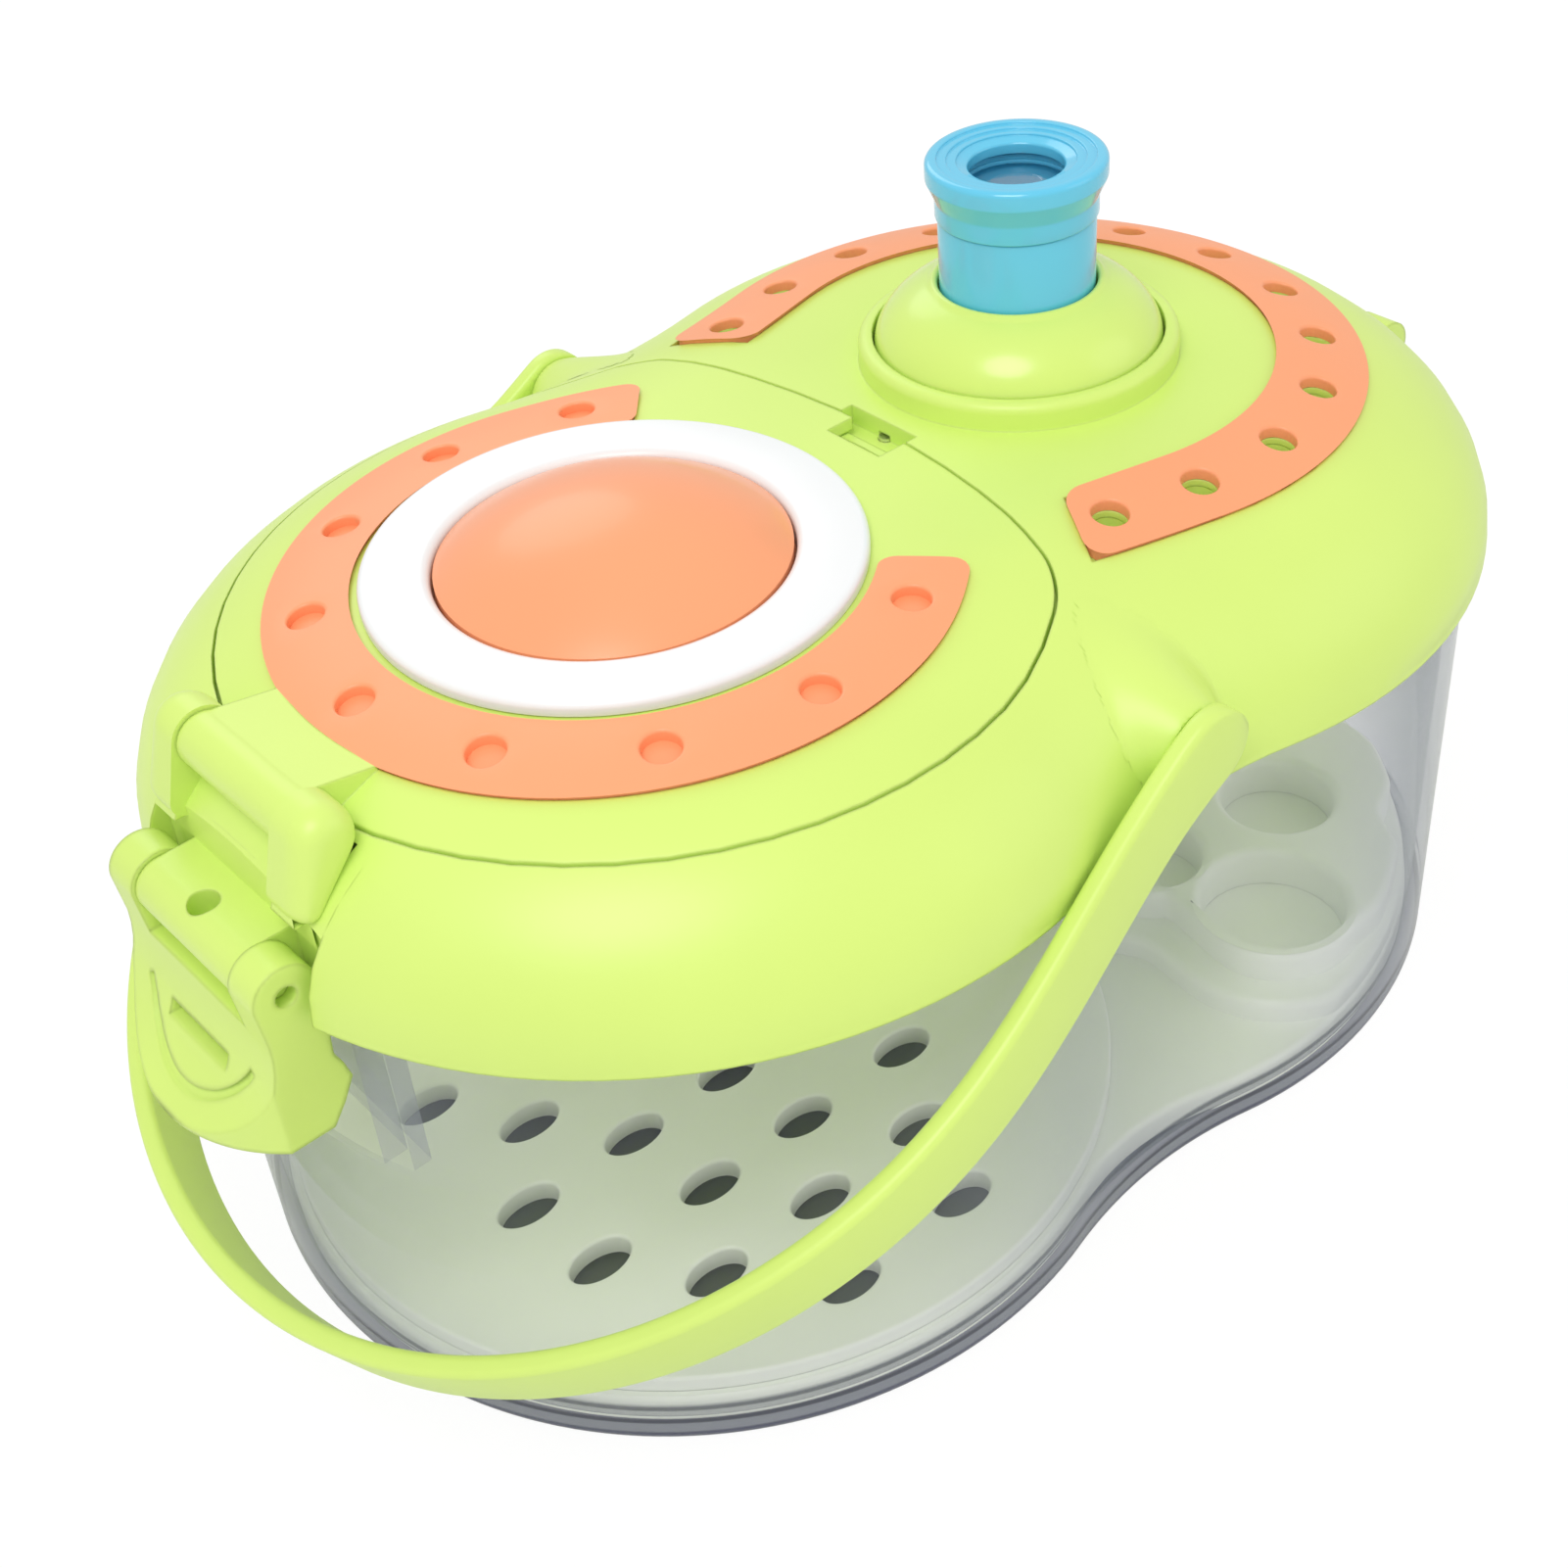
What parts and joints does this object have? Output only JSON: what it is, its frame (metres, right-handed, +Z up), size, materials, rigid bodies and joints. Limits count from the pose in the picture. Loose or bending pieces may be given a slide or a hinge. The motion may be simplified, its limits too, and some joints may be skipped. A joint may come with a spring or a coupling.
{
  "type": "bug catcher jar",
  "caption": "Two-lobed clear insect jar with a domed lid, an opening light hatch with a push button, a sliding eyepiece turret, end latches and a swing handle.",
  "frame": {"origin": "centre of the outline on the table, at the foot of the container", "axes": "+X from the hatch end to the scope end along the long axis, +Z up, -Y towards the viewer"},
  "size_m": [0.2651, 0.171, 0.147],
  "materials": {
    "clear_plastic": "clear smoke-blue polystyrene, glossy",
    "white_plastic": "white, satin gloss",
    "lime_plastic": "lime green, satin gloss",
    "lime_gloss": "lime green, high gloss",
    "orange_plastic": "light orange, satin",
    "orange_gloss": "light orange, high gloss",
    "blue_plastic": "sky blue, gloss",
    "lens": "clear moulded lens",
    "steel": "plated steel",
    "board": "green board",
    "lamp": "clear yellowish lamp",
    "dark_plastic": "black plastic"
  },
  "bodies": {
    "jar": {"container": "clear_plastic", "play_insert": "white_plastic", "lid_shell": "lime_plastic", "vent_inlay": "orange_plastic", "turret_retainer": "lime_plastic", "retainer_screws": "steel"},
    "near_latch": {"near_latch": "lime_plastic"},
    "far_latch": {"far_latch": "lime_plastic"},
    "handle": {"carry_handle": "lime_plastic"},
    "hatch": {"hatch_door": "lime_plastic", "hatch_inlay": "orange_plastic", "lamp_bezel": "white_plastic", "lamp_housing": "white_plastic", "lamp_board": "board", "lamp_leds": "lamp", "push_switch": "dark_plastic", "button_cells": "steel", "cell_contacts": "steel", "battery_cover": "white_plastic", "battery_cover_screw": "steel", "housing_screws": "steel", "button_spring": "steel"},
    "button": {"button_dome": "orange_gloss"},
    "turret": {"scope_turret": "lime_gloss"},
    "eyepiece": {"eyepiece_tube": "blue_plastic", "eyecup": "blue_plastic", "eye_lens": "lens", "eye_lens_ring": "blue_plastic", "objective_lens": "lens", "objective_ring": "blue_plastic"}
  },
  "joints": [
    {"name": "near_latch_hinge", "type": "hinge", "parent": "jar", "child": "near_latch", "pos_m": [-0.11702, 0, 0.0895], "axis": [0, 1, 0], "range_deg": [0, 120]},
    {"name": "far_latch_hinge", "type": "hinge", "parent": "jar", "child": "far_latch", "pos_m": [0.11702, 0, 0.0895], "axis": [0, -1, 0], "range_deg": [0, 120]},
    {"name": "handle_swing", "type": "hinge", "parent": "jar", "child": "handle", "pos_m": [0, 0, 0.095], "axis": [0, 1, 0], "range_deg": [0, 237]},
    {"name": "hatch_hinge", "type": "hinge", "parent": "jar", "child": "hatch", "pos_m": [-0.10552, 0, 0.109], "axis": [0, -1, 0], "range_deg": [0, 110]},
    {"name": "button_press", "type": "slide", "parent": "hatch", "child": "button", "axis": [0, 0, -1], "range_m": [0, 0.0025], "stiffness_N_per_m": 300, "springref_m": -0.001, "deforming": ["button_spring"]},
    {"name": "turret_pan", "type": "hinge", "parent": "jar", "child": "turret", "pos_m": [0.04182, 0, 0.115], "axis": [0, 0, 1], "continuous": true},
    {"name": "eyepiece_focus", "type": "slide", "parent": "turret", "child": "eyepiece", "axis": [0, 0, 1], "range_m": [-0.009, 0.0025]}
  ]
}
